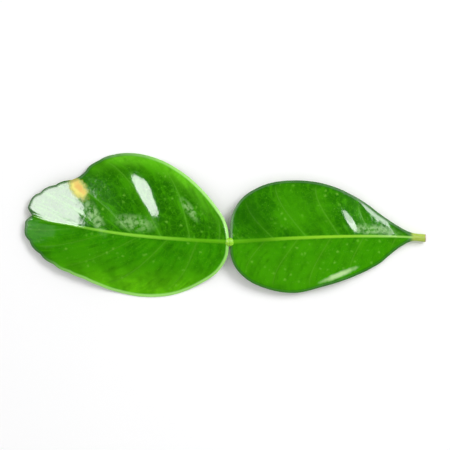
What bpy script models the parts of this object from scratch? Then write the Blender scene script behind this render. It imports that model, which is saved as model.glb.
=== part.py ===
"""A picked double leaf of makrut lime: an oval glossy blade, jointed end to end with its winged leaf stalk.

Run with: blender --background --python part.py
Metres, +Z up. The leaf lies face up on the surface z = 0, its tip towards -X and its cut stalk end
towards +X. The origin is on that surface, under the middle of the leaf's bounding box.
"""

import math

import bmesh
import bpy
import numpy as np
from mathutils import Matrix

MM = 0.001

# Outlines in plan, in millimetres from the joint between blade and stalk. The far side is +Y, the near -Y.
# The blade has a blunt tip with a small notch where its midrib ends, and an old bite in the far margin.
BLADE_RIB = [(-1.05, 0.0), (-15.6, 0.8), (-34.3, 2.6), (-47.8, 4.9), (-55.4, 6.3), (-60.4, 8.0)]
BLADE_FAR_MARGIN = [
    (-1.05, 1.0),
    (-1.3, 3.4),
    (-2.4, 6.8),
    (-4.4, 10.0),
    (-8.6, 15.2),
    (-15.4, 21.2),
    (-22.4, 25.0),
    (-31.0, 26.8),
    (-38.2, 25.7),
    (-43.4, 22.6),
    (-46.2, 19.6),
    (-49.4, 18.7),
    (-55.8, 16.4),
    (-60.2, 13.4),
    (-61.7, 10.6),
    (-60.4, 8.0),
]
BLADE_NEAR_MARGIN = [
    (-1.05, -1.0),
    (-1.4, -4.0),
    (-3.8, -8.4),
    (-10.2, -13.0),
    (-17.0, -15.8),
    (-27.0, -16.6),
    (-36.0, -14.8),
    (-45.0, -11.2),
    (-53.4, -7.4),
    (-59.4, -2.6),
    (-62.6, 2.6),
    (-62.4, 6.2),
    (-60.4, 8.0),
]

# The winged stalk has nearly square shoulders at the joint and narrows to a short bare stub, cut straight.
STALK_RIB = [(-0.75, 0.0), (20.0, 1.2), (39.5, 1.7), (53.8, 1.4), (58.2, 1.1)]
STALK_FAR_MARGIN = [
    (-0.75, 1.0),
    (-0.7, 4.0),
    (-0.2, 7.8),
    (2.6, 12.8),
    (9.0, 16.9),
    (19.0, 18.5),
    (29.0, 17.1),
    (38.2, 12.9),
    (46.6, 6.9),
    (51.6, 3.8),
    (54.2, 2.7),
    (58.2, 2.25),
]
STALK_NEAR_MARGIN = [
    (-0.75, -1.0),
    (-0.6, -3.6),
    (0.6, -7.2),
    (4.2, -11.2),
    (10.6, -14.2),
    (19.0, -15.4),
    (27.2, -13.5),
    (36.0, -10.7),
    (44.0, -6.8),
    (50.4, -1.7),
    (53.8, 0.1),
    (58.2, -0.05),
]

# The rows leave the rib as side veins do: they lean towards the blade's tip, on the blade and on the stalk,
# by this share of the margin's length at the middle of the piece.
BLADE_LEAN, STALK_LEAN = 0.26, -0.12

# How the leaf stands: the rib's height along it, and how both halves slope and bend down away from the rib.
# On the blade the far half slopes more towards the tip, and the near half less, and the tip droops: by how
# much, from which share of the rib on, and how much nearer to the tip per millimetre out in the far half.
JOINT_HEIGHT = 4.7
BLADE_RIB_RISE, BLADE_RIB_ARCH = 5.4, 5.8
BLADE_FAR_SLOPE, BLADE_FAR_BEND = 0.08, 0.0093
BLADE_NEAR_SLOPE, BLADE_NEAR_BEND = 0.205, 0.0092
TIP_DROOP, TIP_FROM, TIP_SLANT = 14.5, 0.62, 0.012
STALK_ARCH = 1.3
STALK_FAR_SLOPE, STALK_FAR_BEND = 0.02, 0.0062
STALK_NEAR_SLOPE, STALK_NEAR_BEND = 0.10, 0.0030

# The lamina: half its thickness, the ribs under and over it, and the soft bend where it meets the surface.
HALF_THICKNESS = 0.35
RIB_UNDER, RIB_UNDER_WIDTH, RIB_TAPER = 0.75, 0.95, 0.75
RIB_OVER, RIB_OVER_WIDTH = 0.15, 0.6
BEND_RADIUS = 0.3

# It swells between its side veins, by these heights from the joint on, far half and near half.
BLADE_VEINS, STALK_VEINS = 7, 6
BLADE_FAR_SWELLS = [0.06, 0.12, 0.10, 0.10, 0.05, 0.04, 0.03, 0.0]
BLADE_NEAR_SWELLS = [0.08, 0.14, 0.16, 0.14, 0.10, 0.06, 0.0, 0.0]
STALK_FAR_SWELLS = [0.06, 0.10, 0.12, 0.12, 0.08, 0.06, 0.03]
STALK_NEAR_SWELLS = [0.06, 0.10, 0.14, 0.10, 0.10, 0.08, 0.06]
FAR_START, NEAR_START, VEIN_HOOK = 0.65, 0.9, 0.35
SWELL_FADE = 0.16

# Each far half has one fold along a side vein, given by its rows and columns and its height.
BLADE_FOLD = {"start": 0.10, "crest": 0.275, "foot": 0.345, "inner": 0.08, "outer": 1.0, "height": 0.72}
STALK_FOLD = {"start": 0.45, "crest": 0.63, "foot": 0.68, "inner": 0.0, "outer": 0.62, "height": 0.3}

# The near wing's margin curls up over a short stretch: height, middle and half length, and where it starts.
CURL_HEIGHT, CURL_AT, CURL_HALF, CURL_FROM = 1.0, 0.66, 0.13, 0.70

# The far wing's margin rolls down towards the stub: its slope, the rows that it grows over, and its start.
ROLL_SLOPE, ROLL_FROM, ROLL_GROW, ROLL_INNER = 0.045, 0.76, 0.08, 0.45

# Shallow rounded teeth grow along the margin towards the far end.
BLADE_TOOTH, STALK_TOOTH, TOOTH_PITCH = 0.5, 0.15, 5.2
TEETH_FROM, TEETH_GROW, TEETH_END = 0.48, 0.4, 0.08
SHORTEST_TOOTHED_ROW = 2.0

# The bare stub: its radius, how flat its sides are, and where along the stalk the wings run out into it.
STUB_RADIUS, STUB_SIDE = 1.15, 0.07
WINGS_END, WINGS_FADE = 0.95, 0.10

# The grid of each piece, rows along the rib and columns on each side of it, and its small steps.
BLADE_ROWS, BLADE_COLUMNS = 54, 11
STALK_ROWS, STALK_COLUMNS = 40, 10
RIB_STEP = 0.01
POINTS_PER_KNOT = 50
WELD = 1e-6
SHARP_ANGLE = math.radians(40)

BLADE_GREEN, BLADE_ROUGHNESS = (0.038, 0.212, 0.003, 1.0), 0.25
STALK_GREEN, STALK_ROUGHNESS = (0.032, 0.225, 0.003, 1.0), 0.3


def smooth_step(x):
    x = np.clip(x, 0, 1)
    return x * x * (3 - 2 * x)


def smooth_line(points, share):
    """Places at the given shares of the length of a smooth line through the points, and that length."""
    points = np.array(points)
    knots = np.concatenate([[0], np.cumsum(np.linalg.norm(np.diff(points, axis=0), axis=1))])
    slopes = np.gradient(points, knots, axis=0)
    fine = np.linspace(0, knots[-1], POINTS_PER_KNOT * len(points))
    start = np.clip(np.searchsorted(knots, fine, side="right") - 1, 0, len(points) - 2)
    step = (knots[start + 1] - knots[start])[:, None]
    t = (fine - knots[start])[:, None] / step
    line = (
        (2 * t**3 - 3 * t**2 + 1) * points[start]
        + (t**3 - 2 * t**2 + t) * step * slopes[start]
        + (3 * t**2 - 2 * t**3) * points[start + 1]
        + (t**3 - t**2) * step * slopes[start + 1]
    )
    run = np.concatenate([[0], np.cumsum(np.linalg.norm(np.diff(line, axis=0), axis=1))])
    places = [np.interp(share * run[-1], run, axis) for axis in line.T]
    return np.column_stack(places), run[-1]


def teeth(share, length, depth):
    """How deep the margin is cut at a share of its length: rounded teeth with narrow notches between."""
    grown = smooth_step((share - TEETH_FROM) / TEETH_GROW) * smooth_step((1 - share) / TEETH_END)
    return depth * grown * (1 - np.abs(np.sin(math.pi * share * length / TOOTH_PITCH)))


def leaf_plan(rib, far_margin, near_margin, lean, tooth, u, v):
    """Plan of the point at share v of the row that leaves the rib at share u, and its place by the rib.

    That place is its distance straight out from the rib, and the share of the rib's length beside it.
    """
    middle, rib_length = smooth_line(rib, u)
    ahead = smooth_line(rib, (u + RIB_STEP).clip(0, 1))[0] - smooth_line(rib, (u - RIB_STEP).clip(0, 1))[0]
    ahead /= np.linalg.norm(ahead, axis=1)[:, None]
    meets = u + lean * np.sin(math.pi * u)
    far, far_length = smooth_line(far_margin, meets)
    near, near_length = smooth_line(near_margin, meets)
    is_far = v > 0
    row = np.where(is_far[:, None], far, near) - middle
    cut = teeth(meets, np.where(is_far, far_length, near_length), tooth)
    cut_share = cut / np.linalg.norm(row, axis=1).clip(SHORTEST_TOOTHED_ROW)
    row *= ((1 - cut_share) * np.abs(v))[:, None]
    away = np.abs(row[:, 0] * ahead[:, 1] - row[:, 1] * ahead[:, 0])
    beside = u + (row * ahead).sum(axis=1) / rib_length
    return middle + row, away, beside


def swelling(u, v, veins, far_swells, near_swells):
    """The sheet's rise between its side veins, which hook forward where they near the margin."""
    vein = veins * u - VEIN_HOOK * v**4 + np.where(v > 0, FAR_START, NEAR_START)
    which = np.floor(vein).astype(int)
    nearest = which.clip(0, len(far_swells) - 1)
    rise = np.where(v > 0, np.take(far_swells, nearest), np.take(near_swells, nearest))
    fade = smooth_step(u / SWELL_FADE) * smooth_step((1 - u) / SWELL_FADE)
    fade *= np.sin(math.pi * np.abs(v)).clip(0)
    return rise * fade * np.sin(math.pi * (vein - which))


def fold(u, v, start, crest, foot, inner, outer, height):
    """A fold along a side vein of the far half: it rises slowly to its crest and drops to its foot."""
    lengthwise = smooth_step((u - start) / (crest - start)) * smooth_step((foot - u) / (foot - crest))
    crosswise = np.sin(math.pi * ((v - inner) / (outer - inner)).clip(0, 1))
    return height * lengthwise * crosswise


def curled_edge(u, v):
    """The short curl of the near wing's margin."""
    stretch = smooth_step(1 - np.abs(u - CURL_AT) / CURL_HALF)
    return CURL_HEIGHT * stretch * smooth_step((-v - CURL_FROM) / (1 - CURL_FROM))


def rolled_edge(u, v, away):
    """The drop of the far wing's margin."""
    stretch = smooth_step((u - ROLL_FROM) / ROLL_GROW)
    return ROLL_SLOPE * away * stretch * smooth_step((v - ROLL_INNER) / (1 - ROLL_INNER))


def laid_on_surface(height):
    """The sheet lies flat where it would dip into the surface, with a soft bend beside that."""
    clear = (height - HALF_THICKNESS).clip(-BEND_RADIUS)
    bend = (clear + BEND_RADIUS) ** 2 / (4 * BEND_RADIUS)
    return HALF_THICKNESS + np.where(clear > BEND_RADIUS, clear, bend)


def ridge(away, height, width):
    return height * np.exp(-((away / width) ** 2))


def blade_surface(u, v):
    """Plan, middle height, and thickness above and below it, all in millimetres."""
    plan, away, beside = leaf_plan(
        BLADE_RIB, BLADE_FAR_MARGIN, BLADE_NEAR_MARGIN, BLADE_LEAN, BLADE_TOOTH, u, v
    )
    height = JOINT_HEIGHT + BLADE_RIB_RISE * beside - BLADE_RIB_ARCH * beside**2
    into_tip = beside - TIP_FROM - np.where(v > 0, TIP_SLANT * away, 0)
    height -= TIP_DROOP * into_tip.clip(0) ** 2
    far = BLADE_FAR_SLOPE * beside**2 * away + BLADE_FAR_BEND * away**2
    near = BLADE_NEAR_SLOPE * (1 - beside**2) * away + BLADE_NEAR_BEND * away**2
    height -= np.where(v > 0, far, near)
    height += fold(u, v, **BLADE_FOLD) + swelling(u, v, BLADE_VEINS, BLADE_FAR_SWELLS, BLADE_NEAR_SWELLS)
    over = HALF_THICKNESS + ridge(away, RIB_OVER, RIB_OVER_WIDTH)
    under = HALF_THICKNESS + ridge(away, RIB_UNDER * (1 - RIB_TAPER * u), RIB_UNDER_WIDTH)
    return plan, laid_on_surface(height), over, under


def stalk_surface(u, v):
    """As for the blade, with the wings running out into a round stub that lies on the surface."""
    plan, away, beside = leaf_plan(
        STALK_RIB, STALK_FAR_MARGIN, STALK_NEAR_MARGIN, STALK_LEAN, STALK_TOOTH, u, v
    )
    stub = smooth_step((u - WINGS_END) / WINGS_FADE + 1)
    height = JOINT_HEIGHT * (1 - beside) + STUB_RADIUS * beside + STALK_ARCH * np.sin(math.pi * beside)
    far = STALK_FAR_SLOPE * away + STALK_FAR_BEND * away**2
    near = STALK_NEAR_SLOPE * away + STALK_NEAR_BEND * away**2
    wings = swelling(u, v, STALK_VEINS, STALK_FAR_SWELLS, STALK_NEAR_SWELLS) - np.where(v > 0, far, near)
    wings += fold(u, v, **STALK_FOLD) + curled_edge(u, v) - rolled_edge(u, v, away)
    height += (1 - stub) * wings
    round_side = STUB_RADIUS * np.sqrt(1 - (1 - STUB_SIDE) * v**2)
    over = HALF_THICKNESS + ridge(away, RIB_OVER, RIB_OVER_WIDTH)
    under = HALF_THICKNESS + ridge(away, RIB_UNDER, RIB_UNDER_WIDTH)
    over += stub * (round_side - over)
    under += stub * (round_side - under)
    return plan, height, over, under


def crowded(share):
    """Columns stand closer together beside the rib and beside the margin."""
    return (1 - np.cos(math.pi * share.clip(0, 1))) / 2


def leaf_body(name, surface, rows, columns, material):
    """One closed body: a grid split into triangles, thickened, then laid out over the surface's formula."""
    body = bmesh.new()
    bmesh.ops.create_grid(body, x_segments=rows, y_segments=2 * columns, size=1.0)
    bmesh.ops.triangulate(body, faces=body.faces)
    copied = bmesh.ops.extrude_face_region(body, geom=body.faces[:], use_keep_orig=True)["geom"]
    upper = [item for item in copied if isinstance(item, bmesh.types.BMVert)]
    bmesh.ops.translate(body, verts=upper, vec=(0, 0, 1))

    x, y, is_upper = np.array([vertex.co for vertex in body.verts]).T
    u = ((1 - x) / 2).clip(0, 1)
    v = np.sign(y) * crowded(np.abs(y))
    plan, height, over, under = surface(u, v)
    z = height + np.where(is_upper > 0.5, over, -under)
    for vertex, place in zip(body.verts, np.column_stack([plan, z]) * MM):
        vertex.co = place
    bmesh.ops.remove_doubles(body, verts=body.verts, dist=WELD)
    bmesh.ops.triangulate(body, faces=body.faces)
    bmesh.ops.recalc_face_normals(body, faces=body.faces)

    mesh = bpy.data.meshes.new(name)
    body.to_mesh(mesh)
    body.free()
    mesh.shade_smooth()
    mesh.set_sharp_from_angle(angle=SHARP_ANGLE)
    mesh.materials.append(material)
    return bpy.data.objects.new(name, mesh)


def leaf_material(name, colour, roughness):
    material = bpy.data.materials.new(name)
    material.use_nodes = True
    shader = material.node_tree.nodes["Principled BSDF"]
    shader.inputs["Base Color"].default_value = colour
    shader.inputs["Roughness"].default_value = roughness
    shader.inputs["Metallic"].default_value = 0.0
    return material


def centre_over_origin(pieces):
    """Moves the pieces so that the origin is under the middle of their bounding box."""
    places = np.concatenate([[vertex.co for vertex in piece.data.vertices] for piece in pieces])
    middle = (places.min(axis=0) + places.max(axis=0)) / 2
    for piece in pieces:
        piece.data.transform(Matrix.Translation((-middle[0], -middle[1], 0)))


def main():
    for leftover in list(bpy.data.objects):
        bpy.data.objects.remove(leftover)
    leaf = bpy.data.collections.new("lime_leaf")
    bpy.context.scene.collection.children.link(leaf)
    blade_skin = leaf_material("blade skin", BLADE_GREEN, BLADE_ROUGHNESS)
    stalk_skin = leaf_material("stalk skin", STALK_GREEN, STALK_ROUGHNESS)
    pieces = [
        leaf_body("leaf_blade", blade_surface, BLADE_ROWS, BLADE_COLUMNS, blade_skin),
        leaf_body("winged_stalk", stalk_surface, STALK_ROWS, STALK_COLUMNS, stalk_skin),
    ]
    centre_over_origin(pieces)
    for piece in pieces:
        leaf.objects.link(piece)


main()
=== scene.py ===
# %% [markdown]
# A picked double leaf of makrut lime
#
# The leaf is a blade and a winged leaf stalk, grown end to end and picked with a short bare stub. Both are
# thin sheets with a rib, waxy and glossy above, paler and dull below. The imported model already has their
# shape in plain triangles. This lesson lays a much finer sheet over the same formulas, so that light runs
# over it as it does over a real leaf. Then it grows the skin in shader nodes: veins, oil glands, duller wax
# under a painted sheen, a healed bite, a painted highlight along the wing's curl, and a pale rim that is
# partly the edge's own colour and partly a painted highlight, with painted shade along the rest of the
# margin.

import math

import bmesh
import bpy
import numpy as np
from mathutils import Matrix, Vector, noise


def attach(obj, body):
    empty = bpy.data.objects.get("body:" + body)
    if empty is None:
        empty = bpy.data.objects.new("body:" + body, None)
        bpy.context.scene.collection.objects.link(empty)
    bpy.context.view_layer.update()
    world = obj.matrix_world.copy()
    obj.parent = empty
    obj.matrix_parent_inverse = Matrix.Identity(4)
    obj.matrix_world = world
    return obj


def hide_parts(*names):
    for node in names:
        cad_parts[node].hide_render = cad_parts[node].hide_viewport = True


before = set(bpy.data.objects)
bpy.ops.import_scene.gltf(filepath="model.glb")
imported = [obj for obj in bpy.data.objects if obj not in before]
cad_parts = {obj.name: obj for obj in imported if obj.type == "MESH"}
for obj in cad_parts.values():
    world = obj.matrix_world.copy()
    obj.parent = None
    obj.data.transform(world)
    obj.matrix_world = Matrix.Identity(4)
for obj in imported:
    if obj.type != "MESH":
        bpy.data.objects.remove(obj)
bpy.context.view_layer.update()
MM = 0.001

# %% [markdown]
# The outline
#
# A leaf's outline could be drawn as a curve and filled, but a filled curve has no rows to carry veins. So
# both margins and the rib are given by a few points each, measured in millimetres from the joint between
# blade and stalk. The far side is +Y. The blade has a blunt tip, with a notch where the rib ends, and an
# old bite in its far margin. The wings have nearly square shoulders and run out into the stub.

# %% points of the blade's rib and margins
BLADE_RIB = [(-1.05, 0.0), (-15.6, 0.8), (-34.3, 2.6), (-47.8, 4.9), (-55.4, 6.3), (-60.4, 8.0)]
BLADE_FAR_MARGIN = [
    (-1.05, 1.0), (-1.3, 3.4), (-2.4, 6.8), (-4.4, 10.0), (-8.6, 15.2), (-15.4, 21.2), (-22.4, 25.0),
    (-31.0, 26.8), (-38.2, 25.7), (-43.4, 22.6), (-46.2, 19.6), (-49.4, 18.7), (-55.8, 16.4), (-60.2, 13.4),
    (-61.7, 10.6), (-60.4, 8.0),
]
BLADE_NEAR_MARGIN = [
    (-1.05, -1.0), (-1.4, -4.0), (-3.8, -8.4), (-10.2, -13.0), (-17.0, -15.8), (-27.0, -16.6),
    (-36.0, -14.8), (-45.0, -11.2), (-53.4, -7.4), (-59.4, -2.6), (-62.6, 2.6), (-62.4, 6.2), (-60.4, 8.0),
]
print("blade points:", len(BLADE_RIB), len(BLADE_FAR_MARGIN), len(BLADE_NEAR_MARGIN))

# %% points of the winged stalk's rib and margins
STALK_RIB = [(-0.75, 0.0), (20.0, 1.2), (39.5, 1.7), (53.8, 1.4), (58.2, 1.1)]
STALK_FAR_MARGIN = [
    (-0.75, 1.0), (-0.7, 4.0), (-0.2, 7.8), (2.6, 12.8), (9.0, 16.9), (19.0, 18.5), (29.0, 17.1),
    (38.2, 12.9), (46.6, 6.9), (51.6, 3.8), (54.2, 2.7), (58.2, 2.25),
]
STALK_NEAR_MARGIN = [
    (-0.75, -1.0), (-0.6, -3.6), (0.6, -7.2), (4.2, -11.2), (10.6, -14.2), (19.0, -15.4), (27.2, -13.5),
    (36.0, -10.7), (44.0, -6.8), (50.4, -1.7), (53.8, 0.1), (58.2, -0.05),
]
print("stalk points:", len(STALK_RIB), len(STALK_FAR_MARGIN), len(STALK_NEAR_MARGIN))

# %% [markdown]
# Lines through the points
#
# A margin bends smoothly from point to point. A curve object would do that, but its points can't be asked
# for at a given share of its length, so the spline is worked out here with numpy: each point gets the slope
# of its neighbours, and shares are read off along the run of the finished line.

# %% a smooth line, read by shares of its length
POINTS_PER_KNOT = 50


def smooth_step(x):
    x = np.clip(x, 0, 1)
    return x * x * (3 - 2 * x)


def smooth_line(points, share):
    """Places at the given shares of the length of a smooth line through the points, and that length."""
    points = np.array(points)
    knots = np.concatenate([[0], np.cumsum(np.linalg.norm(np.diff(points, axis=0), axis=1))])
    slopes = np.gradient(points, knots, axis=0)
    fine = np.linspace(0, knots[-1], POINTS_PER_KNOT * len(points))
    start = np.clip(np.searchsorted(knots, fine, side="right") - 1, 0, len(points) - 2)
    step = (knots[start + 1] - knots[start])[:, None]
    t = (fine - knots[start])[:, None] / step
    line = (
        (2 * t**3 - 3 * t**2 + 1) * points[start]
        + (t**3 - 2 * t**2 + t) * step * slopes[start]
        + (3 * t**2 - 2 * t**3) * points[start + 1]
        + (t**3 - t**2) * step * slopes[start + 1]
    )
    run = np.concatenate([[0], np.cumsum(np.linalg.norm(np.diff(line, axis=0), axis=1))])
    places = [np.interp(share * run[-1], run, axis) for axis in line.T]
    return np.column_stack(places), run[-1]


print("blade's rib, mm:", round(smooth_line(BLADE_RIB, np.array([1.0]))[1], 1))

# %% [markdown]
# Rows that run like side veins
#
# Every point of the sheet gets two shares: u along the rib, and v across, from -1 at the near margin to 1
# at the far one. A row of equal u leaves the rib at a slant and meets the margin a little nearer to the
# tip, as a side vein does. So a vein, a swell between two veins or a band along the margin can all be
# written in u and v. Towards the blade's tip the margin is cut into shallow rounded teeth.

# %% teeth of the margins
BLADE_TOOTH, STALK_TOOTH, TOOTH_PITCH = 0.5, 0.15, 5.2
TEETH_FROM, TEETH_GROW, TEETH_END = 0.48, 0.4, 0.08


def teeth(share, length, depth):
    """How deep the margin is cut at a share of its length: rounded teeth with narrow notches between."""
    grown = smooth_step((share - TEETH_FROM) / TEETH_GROW) * smooth_step((1 - share) / TEETH_END)
    return depth * grown * (1 - np.abs(np.sin(math.pi * share * length / TOOTH_PITCH)))


print("deepest notches of blade and wings, mm:", BLADE_TOOTH, STALK_TOOTH)

# %% plan of the rows
BLADE_LEAN, STALK_LEAN = 0.26, -0.12
SHORTEST_TOOTHED_ROW = 2.0
RIB_STEP = 0.01


def leaf_plan(rib, far_margin, near_margin, lean, tooth, u, v):
    """Plan of a point, how far it is straight out from the rib, and the share of the rib beside it."""
    middle, rib_length = smooth_line(rib, u)
    before, after = [smooth_line(rib, (u + step).clip(0, 1))[0] for step in (-RIB_STEP, RIB_STEP)]
    ahead = after - before
    ahead /= np.linalg.norm(ahead, axis=1)[:, None]
    meets = u + lean * np.sin(math.pi * u)
    far, far_length = smooth_line(far_margin, meets)
    near, near_length = smooth_line(near_margin, meets)
    is_far = v > 0
    row = np.where(is_far[:, None], far, near) - middle
    cut = teeth(meets, np.where(is_far, far_length, near_length), tooth)
    cut_share = cut / np.linalg.norm(row, axis=1).clip(SHORTEST_TOOTHED_ROW)
    row *= ((1 - cut_share) * np.abs(v))[:, None]
    away = np.abs(row[:, 0] * ahead[:, 1] - row[:, 1] * ahead[:, 0])
    beside = u + (row * ahead).sum(axis=1) / rib_length
    return middle + row, away, beside


print("rows meet the margin later than they leave the rib by up to:", BLADE_LEAN, STALK_LEAN)

# %% [markdown]
# How the leaf lies
#
# A picked leaf lies on its margins: the blade arches along its rib and both halves bend down from it,
# until a short stretch of each margin lies flat on the table. The wings slope down more gently, and the
# round stub lies on its side at the far end. Pushing a flat grid about with a lattice or by hand would
# give the same forms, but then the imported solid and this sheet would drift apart. One formula for both
# keeps them together.

# %% where the sheet meets the table
UNDERSIDE, BEND_RADIUS = 0.35, 0.3


def laid_on_surface(height):
    """The sheet lies flat where it would dip into the surface, with a soft bend beside that."""
    clear = (height - UNDERSIDE).clip(-BEND_RADIUS)
    bend = (clear + BEND_RADIUS) ** 2 / (4 * BEND_RADIUS)
    return UNDERSIDE + np.where(clear > BEND_RADIUS, clear, bend)


print("middle of the sheet where it lies flat, mm:", laid_on_surface(np.zeros(1)))

# %% height of the blade
JOINT_HEIGHT = 4.7
BLADE_RIB_RISE, BLADE_RIB_ARCH = 5.4, 5.8
TIP_DROOP, TIP_FROM, TIP_SLANT = 14.5, 0.62, 0.012
BLADE_FAR_SLOPE, BLADE_FAR_BEND = 0.08, 0.0093
BLADE_NEAR_SLOPE, BLADE_NEAR_BEND = 0.205, 0.0092


def blade_height(away, beside, v):
    height = JOINT_HEIGHT + BLADE_RIB_RISE * beside - BLADE_RIB_ARCH * beside**2
    into_tip = beside - TIP_FROM - np.where(v > 0, TIP_SLANT * away, 0)
    height -= TIP_DROOP * into_tip.clip(0) ** 2
    far = BLADE_FAR_SLOPE * beside**2 * away + BLADE_FAR_BEND * away**2
    near = BLADE_NEAR_SLOPE * (1 - beside**2) * away + BLADE_NEAR_BEND * away**2
    return height - np.where(v > 0, far, near)


print("height of the blade's rib, mm:", blade_height(0, np.array([0.0, 0.5, 1.0]), 0).round(2))

# %% height of the winged stalk
STALK_ARCH = 1.3
STALK_FAR_SLOPE, STALK_FAR_BEND = 0.02, 0.0062
STALK_NEAR_SLOPE, STALK_NEAR_BEND = 0.10, 0.0030
STUB_RADIUS = 1.15


def stalk_rib_height(beside):
    return JOINT_HEIGHT * (1 - beside) + STUB_RADIUS * beside + STALK_ARCH * np.sin(math.pi * beside)


def wings_drop(away, v):
    far = STALK_FAR_SLOPE * away + STALK_FAR_BEND * away**2
    near = STALK_NEAR_SLOPE * away + STALK_NEAR_BEND * away**2
    return np.where(v > 0, far, near)


print("height of the stalk's rib, mm:", stalk_rib_height(np.array([0.0, 0.5, 1.0])).round(2))

# %% [markdown]
# Swells, folds, veins and ripples
#
# The skin between two side veins is slightly pillowed, because the veins are stiffer than the sheet. One
# fold along a vein of each far half stands higher, the near wing's margin has a short curl, and the far
# one's rolls down towards the stub. The flanks of all these break a window's reflection into slanting
# streaks. Finer still, each vein lies in a narrow groove above and stands out as a cord below, and the
# whole sheet ripples by a few hundredths of a millimetre. Those could be bump in the material, but real
# height also shows at a low angle and in the exported mesh, so only glands, net and grain are left to bump.

# %% swells between the side veins
BLADE_VEINS, STALK_VEINS = 7, 6
FAR_START, NEAR_START, VEIN_HOOK = 0.65, 0.9, 0.35
BLADE_FAR_SWELLS = [0.06, 0.12, 0.10, 0.10, 0.05, 0.04, 0.03, 0.0]
BLADE_NEAR_SWELLS = [0.08, 0.14, 0.16, 0.14, 0.10, 0.06, 0.0, 0.0]
STALK_FAR_SWELLS = [0.06, 0.10, 0.12, 0.12, 0.08, 0.06, 0.03]
STALK_NEAR_SWELLS = [0.06, 0.10, 0.14, 0.10, 0.10, 0.08, 0.06]
SWELL_FADE = 0.16


def vein_count(u, v, veins):
    """Which side vein a point is at: whole numbers lie on veins, halves midway between two."""
    return veins * u - VEIN_HOOK * v**4 + np.where(v > 0, FAR_START, NEAR_START)


def swelling(vein, u, v, far_swells, near_swells):
    which = np.floor(vein).astype(int)
    nearest = which.clip(0, len(far_swells) - 1)
    rise = np.where(v > 0, np.take(far_swells, nearest), np.take(near_swells, nearest))
    fade = smooth_step(u / SWELL_FADE) * smooth_step((1 - u) / SWELL_FADE)
    fade *= np.sin(math.pi * np.abs(v)).clip(0)
    return rise * fade * np.sin(math.pi * (vein - which))


print("highest swells of blade and wings, mm:", max(BLADE_NEAR_SWELLS), max(STALK_NEAR_SWELLS))

# %% folds, curl and roll
BLADE_FOLD = {"start": 0.10, "crest": 0.275, "foot": 0.345, "inner": 0.08, "outer": 1.0, "height": 0.72}
STALK_FOLD = {"start": 0.45, "crest": 0.63, "foot": 0.68, "inner": 0.0, "outer": 0.62, "height": 0.3}
CURL_HEIGHT, CURL_AT, CURL_HALF, CURL_FROM = 1.0, 0.66, 0.13, 0.70
ROLL_SLOPE, ROLL_FROM, ROLL_GROW, ROLL_INNER = 0.045, 0.76, 0.08, 0.45


def fold(u, v, start, crest, foot, inner, outer, height):
    """A fold along a side vein of the far half: it rises slowly to its crest and drops to its foot."""
    lengthwise = smooth_step((u - start) / (crest - start)) * smooth_step((foot - u) / (foot - crest))
    crosswise = np.sin(math.pi * ((v - inner) / (outer - inner)).clip(0, 1))
    return height * lengthwise * crosswise


def curled_edge(u, v):
    """The short curl of the near wing's margin."""
    stretch = smooth_step(1 - np.abs(u - CURL_AT) / CURL_HALF)
    return CURL_HEIGHT * stretch * smooth_step((-v - CURL_FROM) / (1 - CURL_FROM))


def rolled_edge(u, v, away):
    """The far wing's margin rolls down where the wing runs out towards the stub."""
    stretch = smooth_step((u - ROLL_FROM) / ROLL_GROW)
    return ROLL_SLOPE * away * stretch * smooth_step((v - ROLL_INNER) / (1 - ROLL_INNER))


print("heights of the folds and the curl, mm:", BLADE_FOLD["height"], STALK_FOLD["height"], CURL_HEIGHT)

# %% ridges and ripples
RIPPLES = [(7.0, 0.05), (2.6, 0.018)]


def ridge(distance, height, width):
    """A soft ridge of this height, or a groove's depth, that fades over this distance to each side."""
    return height * np.exp(-((distance / width) ** 2))


def ripples(plan):
    """Small waves of the sheet. Each pair is a wave's length and its height in millimetres."""
    rise = np.zeros(len(plan))
    for length, height in RIPPLES:
        waves = [noise.noise(Vector((x / length, y / length, length))) for x, y in plan]
        rise += height * np.array(waves)
    return rise


print("ripple heights, mm:", [height for length, height in RIPPLES])

# %% [markdown]
# One sheet with two faces
#
# Solidify would give the sheet a thickness, but the same one everywhere and with a square edge. A real
# blade is thickest at its rib, which stands out below, thins towards the margin and ends in a rounded rim.
# So the grid is extruded once into an upper and a lower face, and each face gets its own height. The
# columns stand close together beside the rib, and closest in the last half millimetre, where the rim is
# rounded.

# %% the blade's sheet
OVER_AT_RIB, OVER_AT_MARGIN = 0.35, 0.05
RIB_UNDER, RIB_UNDER_WIDTH, RIB_TAPER = 0.75, 0.95, 0.75
RIB_OVER, RIB_OVER_WIDTH = 0.15, 0.6


def thickness_above(away, v):
    return OVER_AT_RIB + (OVER_AT_MARGIN - OVER_AT_RIB) * v**2 + ridge(away, RIB_OVER, RIB_OVER_WIDTH)


def blade_surface(u, v):
    """Plan, middle height, thickness above and below, distance from the rib, vein count, and stub share."""
    plan, away, beside = leaf_plan(
        BLADE_RIB, BLADE_FAR_MARGIN, BLADE_NEAR_MARGIN, BLADE_LEAN, BLADE_TOOTH, u, v
    )
    vein = vein_count(u, v, BLADE_VEINS)
    height = blade_height(away, beside, v) + fold(u, v, **BLADE_FOLD)
    height += swelling(vein, u, v, BLADE_FAR_SWELLS, BLADE_NEAR_SWELLS)
    under = UNDERSIDE + ridge(away, RIB_UNDER * (1 - RIB_TAPER * u), RIB_UNDER_WIDTH)
    return plan, laid_on_surface(height), thickness_above(away, v), under, away, vein, np.zeros(len(u))


print("tip of the blade, mm from the joint:", blade_surface(np.ones(1), np.zeros(1))[0].round(1))

# %% the winged stalk's sheet
STUB_SIDE = 0.07
WINGS_END, WINGS_FADE = 0.95, 0.10


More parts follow.
